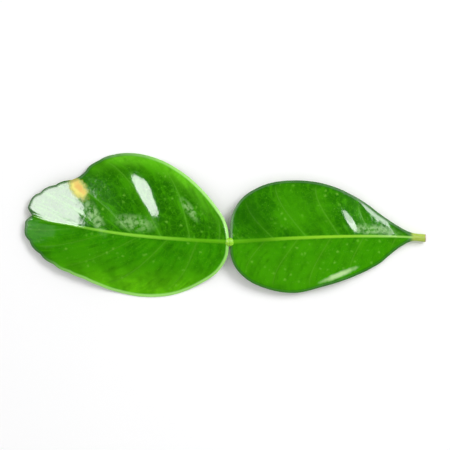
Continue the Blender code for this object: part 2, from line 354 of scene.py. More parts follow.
def stalk_surface(u, v):
    """As for the blade, with the wings running out into the round stub that lies on the table."""
    plan, away, beside = leaf_plan(
        STALK_RIB, STALK_FAR_MARGIN, STALK_NEAR_MARGIN, STALK_LEAN, STALK_TOOTH, u, v
    )
    vein = vein_count(u, v, STALK_VEINS)
    stub = smooth_step((u - WINGS_END) / WINGS_FADE + 1)
    wings = curled_edge(u, v) + fold(u, v, **STALK_FOLD)
    wings += swelling(vein, u, v, STALK_FAR_SWELLS, STALK_NEAR_SWELLS)
    wings -= wings_drop(away, v) + rolled_edge(u, v, away)
    height = stalk_rib_height(beside) + (1 - stub) * wings
    round_side = STUB_RADIUS * np.sqrt(1 - (1 - STUB_SIDE) * v**2)
    over = thickness_above(away, v)
    under = UNDERSIDE + ridge(away, RIB_UNDER, RIB_UNDER_WIDTH)
    over += stub * (round_side - over)
    under += stub * (round_side - under)
    return plan, height, over, under, away, vein, stub


print("cut end, mm from the joint:", stalk_surface(np.ones(1), np.zeros(1))[0].round(1))

# %% columns of the grid
RIB_CROWDING = 0.5
RIM_COLUMNS = [0.46, 0.30, 0.17, 0.07, 0.015, 0.0]
FULL_RIM_ROW = 3.0


def column_shares(row_length, columns):
    """Shares across one half for each row: crowded at the rib, and at set distances from the rim."""
    rim = np.array(RIM_COLUMNS) * np.minimum(1, row_length / FULL_RIM_ROW)[:, None]
    rim_shares = 1 - rim / row_length.clip(1e-6)[:, None]
    inner = np.arange(columns + 1 - len(RIM_COLUMNS)) / (columns + 1 - len(RIM_COLUMNS))
    inner = RIB_CROWDING * inner + (1 - RIB_CROWDING) * inner**2
    return np.column_stack([inner[None, :] * rim_shares[:, :1], rim_shares])


def grid_shares(surface, rows, columns, row, column):
    """The share v of each grid point, from its row and column."""
    u_of_row = np.arange(rows + 1) / rows
    rib = surface(u_of_row, np.zeros(rows + 1))[0]
    v = np.zeros(len(row))
    for side in (-1, 1):
        margin = surface(u_of_row, np.full(rows + 1, float(side)))[0]
        shares = column_shares(np.linalg.norm(margin - rib, axis=1), columns)
        here = column * side > 0
        v[here] = side * shares[row[here], np.abs(column[here])]
    return v


print("rim columns, mm from the margin:", RIM_COLUMNS)

# %% distance from the margin
DOTS_PER_ROW = 4
CHUNK = 2000


def distance_from_margin(surface, rows, plan):
    """Distance of each point to the nearest of many dots on both margins, a chunk of points at a time."""
    dots = np.linspace(0, 1, DOTS_PER_ROW * rows)
    margin = np.concatenate([surface(dots, np.full(len(dots), side))[0] for side in (-1.0, 1.0)])
    pieces = [plan[start : start + CHUNK] for start in range(0, len(plan), CHUNK)]
    return np.concatenate(
        [np.linalg.norm(piece[:, None] - margin[None], axis=2).min(axis=1) for piece in pieces]
    )


print("dots on a margin for each row:", DOTS_PER_ROW)

# %% heights of the two faces
RIM_WIDTH, RIM_FLAT = 0.32, 0.12
FINE_FADE, VEIN_FADE = 1.5, 2.5
VEINS_END, VEINS_GO = 0.68, 0.25
VEIN_SPACING = 7.4
VEIN_GROOVE, VEIN_GROOVE_WIDTH = 0.018, 0.4
VEIN_CORD, VEIN_CORD_WIDTH = 0.10, 0.28


def face_heights(u, plan, height, over, under, away, vein, stub, from_margin):
    """Heights of the upper and the lower face, with the rounded rim, the veins and the ripples."""
    rounding = np.sqrt(1 - (1 - (from_margin / RIM_WIDTH).clip(0, 1)) ** 2)
    half = (over + under) / 2 * (RIM_FLAT + (1 - RIM_FLAT) * np.maximum(rounding, stub))
    middle = height + (over - under) / 2
    fine = (1 - stub) * smooth_step(from_margin / FINE_FADE)
    off_vein = np.abs(vein - np.rint(vein)) * VEIN_SPACING
    veined = fine * smooth_step(from_margin / VEIN_FADE) * smooth_step(away / FINE_FADE)
    veined *= smooth_step((VEINS_END - u) / VEINS_GO)
    upper = middle + half + fine * ripples(plan)
    upper -= veined * ridge(off_vein, VEIN_GROOVE, VEIN_GROOVE_WIDTH)
    lower = middle - half - veined * ridge(off_vein, VEIN_CORD, VEIN_CORD_WIDTH)
    return upper, np.maximum(lower, 0)


print("groove above and cord below each side vein, mm:", VEIN_GROOVE, VEIN_CORD)

# %% a grid with two faces
UPPER_SKIN, LOWER_SKIN = 0, 1


def two_faced_grid(rows, columns):
    """A flat grid, extruded once: the raised face takes the upper skin, and the first the lower one."""
    body = bmesh.new()
    bmesh.ops.create_grid(body, x_segments=rows, y_segments=2 * columns, size=1.0)
    grown = bmesh.ops.extrude_face_region(body, geom=body.faces[:], use_keep_orig=True)["geom"]
    raised = [item for item in grown if isinstance(item, bmesh.types.BMVert)]
    bmesh.ops.translate(body, verts=raised, vec=(0, 0, 1))
    for face in body.faces:
        is_raised = max(vertex.co.z for vertex in face.verts) > 0.5
        face.material_index = UPPER_SKIN if is_raised else LOWER_SKIN
    return body


print("material slots of the upper and the lower face:", UPPER_SKIN, LOWER_SKIN)

# %% laying the grid out over a formula
def lay_out(body, surface, rows, columns, offset):
    """Puts each point where the formula says, and keeps with it the patterns that the skins read."""
    x, y, is_upper = np.array([vertex.co for vertex in body.verts]).T
    row = np.rint((1 - x) / 2 * rows).astype(int)
    v = grid_shares(surface, rows, columns, row, np.rint(y * columns).astype(int))
    plan, height, over, under, away, vein, stub = surface(row / rows, v)
    from_margin = distance_from_margin(surface, rows, plan)
    upper, lower = face_heights(row / rows, plan, height, over, under, away, vein, stub, from_margin)
    places = np.column_stack([plan + offset, np.where(is_upper > 0.5, upper, lower)]) * MM
    for vertex, place in zip(body.verts, places):
        vertex.co = place
    patterns = {"from_rib": np.where(v > 0, away, -away), "from_margin": from_margin, "vein": vein}
    patterns |= {"along": row / rows, "across": v, "stub": stub}
    for pattern, values in patterns.items():
        layer = body.verts.layers.float.new(pattern)
        for vertex, value in zip(body.verts, values):
            vertex[layer] = value


print("the rim's thickness is", RIM_FLAT, "of the sheet's, rounded over mm:", RIM_WIDTH)

# %% finishing a piece
WELD = 3e-6
SHARP_ANGLE = math.radians(50)


def finished_piece(name, body, skins):
    """A smooth object with these skins, riding on the leaf's only body."""
    mesh = bpy.data.meshes.new(name)
    body.to_mesh(mesh)
    body.free()
    for skin in skins:
        mesh.materials.append(skin)
    mesh.shade_smooth()
    mesh.set_sharp_from_angle(angle=SHARP_ANGLE)
    piece = bpy.data.objects.new(name, mesh)
    bpy.context.scene.collection.objects.link(piece)
    triangles = sum(len(polygon.vertices) - 2 for polygon in mesh.polygons)
    print(name, "triangles:", triangles, "size, mm:", [round(side / MM, 2) for side in piece.dimensions])
    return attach(piece, "root")


def leaf_sheet(name, surface, rows, columns, offset, skins):
    """A closed sheet over the surface's formula, welded where the rows run together at tip and joint."""
    body = two_faced_grid(rows, columns)
    lay_out(body, surface, rows, columns, offset)
    bmesh.ops.remove_doubles(body, verts=body.verts, dist=WELD)
    bmesh.ops.recalc_face_normals(body, faces=body.faces)
    return finished_piece(name, body, skins)


print("points are welded within mm:", WELD / MM)

# %% [markdown]
# Skin as arithmetic
#
# A leaf's skin is a stack of small patterns: how far from the rib, how far from the margin, on a vein or
# beside it. Wiring each sum by hand in the node editor takes a Math node per sign. A small class around a
# node's output does the wiring, so that a mask can be written as 1 - distance / width.

# %% one class for all shader nodes
class Strand:
    """An output of a node in a material. Python's operators on it add Math nodes to that material."""

    def __init__(self, tree, output=None):
        self.tree, self.output = tree, output

    def node(self, kind, settings, inputs, output=0):
        """Adds a node of this kind, with its settings made first and its sockets given values or links."""
        made = self.tree.nodes.new(kind)
        for key, value in settings.items():
            setattr(made, key, value)
        for key, value in inputs.items():
            if isinstance(value, Strand):
                self.tree.links.new(value.output, made.inputs[key])
            else:
                made.inputs[key].default_value = value
        return Strand(self.tree, made.outputs[output])

    def maths(self, operation, *values):
        return self.node("ShaderNodeMath", {"operation": operation}, dict(enumerate(values)))

    def __add__(self, other):
        return self.maths("ADD", self, other)

    def __sub__(self, other):
        return self.maths("SUBTRACT", self, other)

    def __rsub__(self, other):
        return self.maths("SUBTRACT", other, self)

    def __mul__(self, other):
        return self.maths("MULTIPLY", self, other)

    def __truediv__(self, other):
        return self.maths("DIVIDE", self, other)

    def __abs__(self):
        return self.maths("ABSOLUTE", self)

    __radd__, __rmul__ = __add__, __mul__


print("a strand understands: + - * / and abs")

# %% colours, masks and tints
def paint(red, green, blue):
    """A colour as nodes take it, from the 0 to 255 numbers of a colour picker."""
    shares = [channel / 255 for channel in (red, green, blue)]
    return (*[s / 12.92 if s <= 0.04045 else ((s + 0.055) / 1.055) ** 2.4 for s in shares], 1.0)


def rising(value, low, high):
    """A mask that goes smoothly from 0 where the value is low to 1 where it is high."""
    sockets = {"Value": value, "From Min": low, "From Max": high}
    return value.node("ShaderNodeMapRange", {"interpolation_type": "SMOOTHSTEP"}, sockets)


def falling(value, low, high):
    return 1 - rising(value, low, high)


def tint(mask, colour, new_colour):
    """The colour, changed to the new colour where the mask is 1."""
    return mask.node("ShaderNodeMix", {"data_type": "RGBA"}, {0: mask, 6: colour, 7: new_colour}, 2)


print("a leaf green as nodes take it:", [round(channel, 3) for channel in paint(36, 110, 0)])

# %% patterns and places
def pattern(skin, name):
    """A pattern that the mesh keeps at its points, such as the distance from the rib."""
    return skin.node("ShaderNodeAttribute", {"attribute_name": name}, {}, "Fac")


def place_in_mm(skin):
    at = skin.node("ShaderNodeTexCoord", {}, {}, "Object")
    return at.node("ShaderNodeVectorMath", {"operation": "SCALE"}, {0: at, "Scale": 1 / MM})


def part_of(place, axis):
    return place.node("ShaderNodeSeparateXYZ", {}, {0: place}, axis)


def cloud(place, size, detail=2.0):
    """Soft blotches of about this size in millimetres, from 0 to 1."""
    return place.node("ShaderNodeTexNoise", {}, {"Vector": place, "Scale": 1 / size, "Detail": detail})


def cells(place, size, feature):
    """Distance in millimetres to the middle or the border of cells of about this size."""
    found = place.node("ShaderNodeTexVoronoi", {"feature": feature}, {"Vector": place, "Scale": 1 / size})
    return found * size


def near_point(place, x, y, degrees, shortened):
    """Distance in millimetres from a point of the plan, shortened along a line turned from +X."""
    turn = math.radians(degrees)
    sockets = {"Vector": place, "Location": (x, y, 0.0), "Rotation": (0.0, 0.0, turn)}
    off = place.node("ShaderNodeMapping", {"vector_type": "TEXTURE"}, sockets)
    scaled = off.node("ShaderNodeVectorMath", {"operation": "MULTIPLY"}, {0: off, 1: (shortened, 1.0, 0.0)})
    return scaled.node("ShaderNodeVectorMath", {"operation": "LENGTH"}, {0: scaled}, "Value")


print("places on the leaf are in mm, so textures are scaled by:", round(1 / MM))

# %% a new skin
def new_skin(name):
    """A new material, a strand to hang its nodes on, and the place on the leaf in millimetres."""
    material = bpy.data.materials.new(name)
    material.use_nodes = True
    skin = Strand(material.node_tree)
    return material, skin, place_in_mm(skin)


def feed_shader(skin, sources):
    """Links each source to the shader's socket of that name."""
    shader = skin.tree.nodes["Principled BSDF"]
    for socket, source in sources.items():
        skin.tree.links.new(source.output, shader.inputs[socket])
    return shader


def bump(skin, height_in_mm, strength):
    """A normal tipped by a height in millimetres."""
    sockets = {"Height": height_in_mm, "Distance": MM, "Strength": strength}
    return skin.node("ShaderNodeBump", {}, sockets)


print("materials so far:", len(bpy.data.materials))

# %% [markdown]
# Veins, net and glands
#
# Real citrus leaves have side veins as fine pale lines, joined by a net of finer ones, and the whole skin
# is dotted with oil glands, each a small sunken window that lets more light through. A painted image could
# show them, but it would blur close up. The side veins are drawn from the vein count that the mesh keeps,
# and the net and the glands are cells of a Voronoi texture, so all stay sharp.

# %% masks of veins, net and glands
VEIN_WIDTH, VEIN_TAPER, VEIN_EDGE = 0.26, 0.14, (0.4, 1.0)
INSIDE_MARGIN = (0.6, 2.6)
NET_SIZE, NET_LINE, NET_LOOSENESS = 1.7, (0.03, 0.12), 2.0
GLAND_SPACING, GLAND_EDGE = 0.95, (0.10, 0.19)


def off_side_vein(skin):
    """Distance in millimetres from the nearest side vein."""
    vein = pattern(skin, "vein")
    return abs(vein - vein.maths("ROUND", vein)) * VEIN_SPACING


def inside_margin(skin):
    return rising(pattern(skin, "from_margin"), *INSIDE_MARGIN)


def side_vein_mask(skin):
    width = VEIN_WIDTH - VEIN_TAPER * abs(pattern(skin, "across"))
    return falling(off_side_vein(skin) / width, *VEIN_EDGE) * inside_margin(skin)


def net_mask(skin, place):
    sockets = {"Vector": place, "Scale": 1 / NET_LOOSENESS, "Detail": 1.0}
    loose = skin.node("ShaderNodeTexNoise", {}, sockets, "Color")
    warped = loose.node("ShaderNodeVectorMath", {"operation": "ADD"}, {0: place, 1: loose})
    return falling(cells(warped, NET_SIZE, "DISTANCE_TO_EDGE"), *NET_LINE) * inside_margin(skin)


def gland_mask(place):
    return falling(cells(place, GLAND_SPACING, "F1"), *GLAND_EDGE)


print("glands are about this many mm apart:", GLAND_SPACING)

# %% [markdown]
# The upper skin's colours
#
# Above, the leaf is dark green, darker on its far half than on its near one. The blade has lighter bands
# along both margins near the joint, and all of the skin has soft blotches and streaks that run along the
# side veins. The ribs are dull near the joint and brighten from there, and the blade's dulls again towards
# its tip. The blade's rim is pale green round its wide end, partly the edge's own paler colour and partly a
# painted highlight, and darker at its tip as painted shade; the wings' rim is a darker painted shadow line.
# A ramp could colour one of these, but each depends on several distances. So the colour is built up like
# paint: each line tints what lies under it through a mask, and the share after the mask says how much of
# the paint is seen.

# %% the paints
BLADE_PAINTS = {
    "far": paint(36, 110, 0),
    "near": paint(50, 144, 0),
    "fresh": paint(70, 164, 2),
    "band": paint(104, 200, 28),
    "near_band": paint(112, 210, 14),
    "deep": paint(30, 96, 0),
    "halo": paint(72, 158, 6),
    "vein": paint(92, 168, 26),
    "gland": paint(96, 176, 34),
    "rib_start": paint(96, 178, 18),
    "rib": paint(136, 212, 56),
    "rib_end": paint(88, 166, 28),
    "speck": paint(124, 196, 60),
    # The blade's rim paint is partly the edge's own paler colour and partly a painted highlight.
    "rim": paint(154, 224, 104),
}
STALK_PAINTS = BLADE_PAINTS | {
    "far": paint(38, 118, 0),
    "near": paint(56, 148, 0),
    "band": paint(34, 112, 0),
    "near_band": paint(62, 152, 2),
    "deep": paint(30, 100, 0),
    "rib": paint(144, 212, 44),
    "rib_end": paint(152, 214, 92),
    # The wings' rim paint is a painted shadow line along the margin.
    "rim": paint(50, 126, 6),
}
print("paints:", len(BLADE_PAINTS))

# %% greens of the two halves, with their bands
HALVES_MEET = (-0.5, 0.5)
BAND_OFF_MARGIN, BAND_OFF_RIB, BAND_STARTS, BAND_ENDS = (1.5, 5.5), (2.0, 8.0), (0.0, 0.18), (0.33, 0.46)
FRESH_OFF_RIB, FRESH_ENDS = (-13.0, -3.0), (0.3, 0.8)
NEAR_BAND_OFF_RIB, NEAR_BAND_ENDS = (-16.0, -8.0), (0.3, 0.7)


def halves_colour(skin, paints):
    from_rib, along = pattern(skin, "from_rib"), pattern(skin, "along")
    colour = tint(rising(from_rib, *HALVES_MEET), paints["near"], paints["far"])
    band = falling(pattern(skin, "from_margin"), *BAND_OFF_MARGIN) * rising(from_rib, *BAND_OFF_RIB)
    band = band * falling(along, *BAND_ENDS) * rising(along, *BAND_STARTS)
    colour = tint(band * 0.9, colour, paints["band"])
    fresh = falling(from_rib, *FRESH_OFF_RIB) * falling(along, *FRESH_ENDS)
    colour = tint(fresh * 0.8, colour, paints["fresh"])
    near_band = falling(from_rib, *NEAR_BAND_OFF_RIB) * falling(along, *NEAR_BAND_ENDS)
    return tint(near_band * 0.8, colour, paints["near_band"])


print("the far band ends at a share of the rib of:", BAND_ENDS)

# %% blotches, and streaks along the veins
LARGE_BLOTCH, SMALL_BLOTCH, DEEP_BLOTCH = 9.0, 1.3, 5.0
FRESH_BLOTCH_EDGE, DEEP_BLOTCH_EDGE = (0.45, 0.75), (0.25, 0.6)
FRESH_STREAK_EDGE, DEEP_STREAK_EDGE = (0.5, 0.75), (0.25, 0.5)
STREAK_WIDTH, STREAK_SQUEEZE = 1.2, 4.0


def blotched(skin, place, colour, paints):
    colour = tint(rising(cloud(place, LARGE_BLOTCH), *FRESH_BLOTCH_EDGE) * 0.5, colour, paints["fresh"])
    colour = tint(rising(cloud(place, SMALL_BLOTCH), *FRESH_BLOTCH_EDGE) * 0.4, colour, paints["fresh"])
    colour = tint(falling(cloud(place, DEEP_BLOTCH), *DEEP_BLOTCH_EDGE) * 0.45, colour, paints["deep"])
    flow = {0: pattern(skin, "vein") * VEIN_SPACING, 1: pattern(skin, "across") * STREAK_SQUEEZE}
    streaks = cloud(skin.node("ShaderNodeCombineXYZ", {}, flow), STREAK_WIDTH)
    colour = tint(rising(streaks, *FRESH_STREAK_EDGE) * 0.6, colour, paints["fresh"])
    return tint(falling(streaks, *DEEP_STREAK_EDGE) * 0.4, colour, paints["deep"])


print("streaks are about this many mm wide:", STREAK_WIDTH)

# %% veins, glands and pale specks
HALO_FADE = (0.1, 1.5)
SPECK_SPACING, SPECK_GRAIN, SPECK_RAGGEDNESS, SPECK_EDGE = 2.4, 0.7, 0.9, (0.45, 1.1)
CLUSTER_SIZE, CLUSTER_EDGE = 5.0, (0.38, 0.58)


def veined(skin, place, colour, paints, side_veins, net, glands):
    halo = falling(off_side_vein(skin), *HALO_FADE) * inside_margin(skin)
    colour = tint(halo * 0.3, colour, paints["halo"])
    colour = tint(net * 0.3, colour, paints["halo"])
    colour = tint(glands * 0.4, colour, paints["gland"])
    colour = tint(side_veins * 0.35, colour, paints["vein"])
    ragged = cells(place, SPECK_SPACING, "F1") + cloud(place, SPECK_GRAIN) * SPECK_RAGGEDNESS
    clusters = rising(cloud(place, CLUSTER_SIZE), *CLUSTER_EDGE)
    return tint(falling(ragged, *SPECK_EDGE) * clusters * 0.55, colour, paints["speck"])


print("pale specks are about this many mm apart:", SPECK_SPACING)

# %% rib and rim
RIB_WIDTH, RIB_NARROWING, RIB_EDGE = 0.85, 0.45, (0.3, 1.0)
RIB_BRIGHTENS, RIB_DULLS = (0.12, 0.48), (0.55, 0.9)
RIM_EDGE, PALE_RIM_ENDS, FAR_RIM_SHORTER, ACROSS_RIB = (0.6, 1.1), (0.35, 0.6), 0.22, (-1.0, 1.0)


def ribbed_and_rimmed(skin, colour, paints):
    from_rib, along = pattern(skin, "from_rib"), pattern(skin, "along")
    rib = tint(rising(along, *RIB_BRIGHTENS), paints["rib_start"], paints["rib"])
    rib = tint(rising(along, *RIB_DULLS), rib, paints["rib_end"])
    on_rib = falling(abs(from_rib) / (RIB_WIDTH - RIB_NARROWING * along), *RIB_EDGE)
    colour = tint(on_rib, colour, rib)
    rim = falling(pattern(skin, "from_margin"), *RIM_EDGE)
    pale = falling(along + FAR_RIM_SHORTER * rising(from_rib, *ACROSS_RIB), *PALE_RIM_ENDS)
    # Away from the wide end the rim is darkened as painted shade. Near it the blade's rim is pale, partly
    # its own paler edge and partly a painted highlight, and the wings' rim is a painted shadow line.
    colour = tint(rim * (1 - pale) * 0.6, colour, paints["deep"])
    return tint(rim * pale, colour, paints["rim"])


print("half the rib's width at joint and end, mm:", RIB_WIDTH, round(RIB_WIDTH - RIB_NARROWING, 2))

# %% [markdown]
# Marks of its life, with painted sheen and a painted highlight
#
# No real leaf is even. This one was bitten at its far margin, and the bite healed in orange and yellow with
# a brown edge. In a few places its wax is duller, and the pale flecks there are a painted sheen. Along the
# curl of the near wing a pale strip is a painted highlight, and the stub is pale and fibrous, brown where
# it was cut. Decals would need images, so each mark is the distance from a point, shortened along one line
# to an oval and made ragged by a cloud.

# %% duller wax and painted sheen
# The pale colour here is a painted sheen, put on flecks where the wax is also made duller.
SHEEN_PALE = paint(150, 204, 112)
SHEEN_GRAIN, SHEEN_EDGE, SHEEN_CORE, SHEEN_DULLNESS = 1.2, (0.3, 0.62), 0.3, 0.35
SHEEN_ON_BLADE = [
    {"x": -27.0, "y": 0.6, "degrees": -10, "shortened": 0.4, "reach": 3.2},
    {"x": -10.6, "y": 4.6, "degrees": -53, "shortened": 0.3, "reach": 1.7},
    {"x": -38.9, "y": 2.6, "degrees": -62, "shortened": 0.3, "reach": 2.4},
]
SHEEN_ON_WINGS = [{"x": 44.6, "y": -1.5, "degrees": -6, "shortened": 0.22, "reach": 2.2}]

# Pale flecks of painted sheen in the given places, and how much duller the wax is there.

def dull_wax_and_painted_sheen(place, colour, sheen_places):
    """Pale flecks where the wax is worn, and how dull they are."""
    flecks, dull = rising(cloud(place, SHEEN_GRAIN), *SHEEN_EDGE), 0.0
    for spot in sheen_places:
        off = near_point(place, spot["x"], spot["y"], spot["degrees"], spot["shortened"])
        sheen_spots = falling(off, SHEEN_CORE * spot["reach"], spot["reach"]) * flecks
        # The pale tint is a painted sheen; the dullness goes into roughness and coat.
        colour = tint(sheen_spots * 0.55, colour, SHEEN_PALE)
        dull = dull + sheen_spots * SHEEN_DULLNESS
    return colour, dull


print("worn places:", len(SHEEN_ON_BLADE) + len(SHEEN_ON_WINGS))

# %% the healed bite
BITE, SCAR, BITE_TURN = (-44.1, 10.9), (-43.6, 11.2), -53
BITE_OLIVE, BITE_YELLOW = paint(158, 174, 52), paint(238, 226, 112)
BITE_ORANGE, BITE_BROWN = paint(228, 176, 80), paint(150, 132, 34)
OLIVE_EDGE, YELLOW_EDGE, ORANGE_EDGE, BROWN_EDGE = (1.8, 3.0), (1.0, 2.5), (0.4, 1.5), (1.4, 2.6)
DULL_EDGE = (1.6, 2.6)
BITE_GRAIN, BITE_RAGGEDNESS = 1.2, 1.6
BITE_SHORTENED, SCAR_SHORTENED, AT_MARGIN = 0.6, 0.5, (0.2, 1.4)


def bitten(skin, place, colour):
    """The blade's marks: painted sheen on duller wax in three places, and the old bite. Gives the colour
    and the dullness.
    """
    colour, sheen_spots = dull_wax_and_painted_sheen(place, colour, SHEEN_ON_BLADE)
    ragged = (cloud(place, BITE_GRAIN) - 0.5) * BITE_RAGGEDNESS
    off = near_point(place, *BITE, BITE_TURN, BITE_SHORTENED) + ragged
    colour = tint(falling(off, *OLIVE_EDGE) * 0.8, colour, BITE_OLIVE)
    colour = tint(falling(off, *YELLOW_EDGE), colour, BITE_YELLOW)
    core = near_point(place, *SCAR, BITE_TURN, SCAR_SHORTENED) + ragged
    colour = tint(falling(core, *ORANGE_EDGE) * 0.8, colour, BITE_ORANGE)
    at_margin = falling(pattern(skin, "from_margin"), *AT_MARGIN)
    colour = tint(at_margin * falling(off, *BROWN_EDGE) * 0.8, colour, BITE_BROWN)
    dull = falling(off, *DULL_EDGE) + sheen_spots
    return colour, dull.maths("MINIMUM", dull, 1.0)


print("middle of the bite, mm from the origin:", BITE)

# %% the wings' lighter and darker places, and a painted highlight along the curl
# The curl's pale strip is a painted highlight.
CURL_PLACE, CURL_TURN, CURL_SHORTENED, CURL_EDGE = (34.2, -15.0), 22, 0.15, (0.3, 1.1)
CURL_HIGHLIGHT, CURL_GRAIN, CURL_RAGGEDNESS = paint(190, 228, 156), 1.5, 0.6
LIGHT_PLACE, LIGHT_EDGE, DARK_PLACE, DARK_EDGE = (21.5, 4.5), (1.0, 7.0), (8.0, 2.5), (1.0, 8.0)
WING_TURN, WING_SHORTENED = -60, 0.6


def wing_marks_and_curl_highlight(skin, place, colour):
    """The wings' marks: a lighter and a darker place, painted sheen on duller wax, and a painted highlight
    inside the curled margin.
    """
    ragged = (cloud(place, CURL_GRAIN) - 0.5) * CURL_RAGGEDNESS
    curl_highlight = falling(near_point(place, *CURL_PLACE, CURL_TURN, CURL_SHORTENED) + ragged, *CURL_EDGE)
    lighter = falling(near_point(place, *LIGHT_PLACE, WING_TURN, WING_SHORTENED), *LIGHT_EDGE)
    darker = falling(near_point(place, *DARK_PLACE, WING_TURN, WING_SHORTENED), *DARK_EDGE)
    colour = tint(lighter * 0.5, colour, STALK_PAINTS["fresh"])
    colour = tint(darker * 0.6, colour, STALK_PAINTS["deep"])
    colour, dull = dull_wax_and_painted_sheen(place, colour, SHEEN_ON_WINGS)
    # Inside the curled margin, a pale strip is painted as a highlight.
    return tint(curl_highlight * 0.9, colour, CURL_HIGHLIGHT), dull


print("middle of the curl, mm from the origin:", CURL_PLACE)

# %% the bare stub and its cut
STUB_GREEN, STUB_STREAK, CUT_BROWN = paint(166, 192, 62), paint(142, 172, 40), paint(150, 120, 70)
STUB_STARTS, CUT_STARTS = (55.5, 57.0), (60.1, 60.4)
STUB_FIBRES, FIBRE_SIZE, FIBRE_EDGE = (0.3, 3.0, 3.0), 1.0, (0.45, 0.7)


def stub_colour(skin, place, colour):
    towards_cut = part_of(place, "X")
    fibres = skin.node("ShaderNodeMapping", {}, {"Vector": place, "Scale": STUB_FIBRES})
    pale = tint(rising(cloud(fibres, FIBRE_SIZE), *FIBRE_EDGE), STUB_GREEN, STUB_STREAK)
    colour = tint(rising(towards_cut, *STUB_STARTS), colour, pale)
    return tint(rising(towards_cut, *CUT_STARTS), colour, CUT_BROWN)


print("the stub turns pale at x, mm:", STUB_STARTS)

# %% [markdown]
# The upper skin's shine
#
# Wax makes the skin shine, in two layers: the skin's own gloss and a thin clear coat. The gloss is a little
# duller on the veins and in the glands, whose pits also break up reflections, and the skin's own grain
# makes the borders of a reflection ragged. The rounded rim, the bite, the stub and the duller places under
# the painted sheen have little coat or none. With a coat, the rim would show as a white line round the
# whole leaf.

# %% a glossy upper skin
SKIN_ROUGHNESS, CLOUD_ROUGHNESS, VEIN_ROUGHNESS, GLAND_ROUGHNESS = 0.08, 0.04, 0.08, 0.06
DULL_ROUGHNESS, STUB_DULLNESS, RIM_DULLNESS = 0.6, 0.85, 0.5
GLOSS_CLOUD, COARSE_SIZE, FINE_SIZE = 4.0, 1.3, 0.5
COARSE_GRAIN, FINE_GRAIN, GLAND_PIT, NET_GROOVE, UPPER_BUMP = 0.055, 0.006, 0.005, 0.002, 0.7
COAT, COAT_ROUGHNESS = 0.6, 0.06
BARE_RIM, BARE_STUB = (0.45, 1.0), (0.6, 1.0)


def upper_skin(name, paints, marked):
    material, skin, place = new_skin(name)
    side_veins, net, glands = side_vein_mask(skin), net_mask(skin, place), gland_mask(place)
    colour = blotched(skin, place, halves_colour(skin, paints), paints)
    colour = veined(skin, place, colour, paints, side_veins, net, glands)
    colour = ribbed_and_rimmed(skin, colour, paints)
    colour, dull = marked(skin, place, colour)
    colour = stub_colour(skin, place, colour)
    dull = dull.maths("MAXIMUM", dull, rising(pattern(skin, "stub"), *BARE_STUB) * STUB_DULLNESS)
    rim = falling(pattern(skin, "from_margin"), *BARE_RIM)
    roughness = SKIN_ROUGHNESS + CLOUD_ROUGHNESS * cloud(place, GLOSS_CLOUD)
    roughness = roughness + VEIN_ROUGHNESS * side_veins + GLAND_ROUGHNESS * glands
    roughness = roughness + DULL_ROUGHNESS * dull.maths("MAXIMUM", dull, rim * RIM_DULLNESS)
    coat = COAT - COAT * dull.maths("MAXIMUM", dull, rim)
    height = cloud(place, COARSE_SIZE) * COARSE_GRAIN + cloud(place, FINE_SIZE) * FINE_GRAIN
    normal = bump(skin, height - glands * GLAND_PIT - net * NET_GROOVE, UPPER_BUMP)
    sources = {"Base Color": colour, "Roughness": roughness, "Coat Weight": coat, "Normal": normal}
    feed_shader(skin, sources).inputs["Coat Roughness"].default_value = COAT_ROUGHNESS
    print(name, "nodes:", len(skin.tree.nodes))
    return material


blade_upper = upper_skin("blade upper skin", BLADE_PAINTS, bitten)
stalk_upper = upper_skin("stalk upper skin", STALK_PAINTS, wing_marks_and_curl_highlight)

# %% [markdown]
# The lower skin
#
# Below, the same veins stand out as pale cords on a dull, lighter green. It has no wax shine, so it gets
# no coat, and more of its relief is in the bump: the net and the veins are raised, the glands sunken.

# %% a dull lower skin
UNDER_GREEN, UNDER_CLOUD = paint(112, 156, 66), paint(96, 142, 54)
UNDER_VEIN, UNDER_NET, UNDER_GLAND = paint(168, 194, 106), paint(132, 172, 82), paint(84, 128, 44)
UNDER_RIB, UNDER_RIM = paint(176, 200, 104), paint(160, 196, 100)
UNDER_RIB_EDGE, UNDER_RIM_EDGE, UNDER_BLOTCH, UNDER_EDGE = (0.6, 1.2), (0.1, 0.6), 7.0, (0.4, 0.7)
UNDER_ROUGHNESS, UNDER_UNEVEN, UNDER_CLOUD_SIZE = 0.5, 0.12, 3.0
NET_CORD, SIDE_CORD, UNDER_PIT = 0.05, 0.06, 0.02
UNDER_GRAIN, UNDER_GRAIN_SIZE, UNDER_BUMP = 0.015, 0.4, 0.8


def lower_skin(name):
    material, skin, place = new_skin(name)
    side_veins, net, glands = side_vein_mask(skin), net_mask(skin, place), gland_mask(place)
    colour = tint(rising(cloud(place, UNDER_BLOTCH), *UNDER_EDGE), UNDER_GREEN, UNDER_CLOUD)
    colour = tint(net * 0.7, colour, UNDER_NET)
    colour = tint(glands * 0.6, colour, UNDER_GLAND)
    colour = tint(side_veins, colour, UNDER_VEIN)
    colour = tint(falling(abs(pattern(skin, "from_rib")), *UNDER_RIB_EDGE), colour, UNDER_RIB)
    colour = tint(falling(pattern(skin, "from_margin"), *UNDER_RIM_EDGE), colour, UNDER_RIM)
    colour = stub_colour(skin, place, colour)
    roughness = UNDER_ROUGHNESS + UNDER_UNEVEN * cloud(place, UNDER_CLOUD_SIZE)
    relief = net * NET_CORD + side_veins * SIDE_CORD - glands * UNDER_PIT
    relief = relief + cloud(place, UNDER_GRAIN_SIZE) * UNDER_GRAIN
    normal = bump(skin, relief, UNDER_BUMP)
    feed_shader(skin, {"Base Color": colour, "Roughness": roughness, "Normal": normal})
    print(name, "nodes:", len(skin.tree.nodes))
    return material


blade_lower = lower_skin("blade lower skin")
stalk_lower = lower_skin("stalk lower skin")

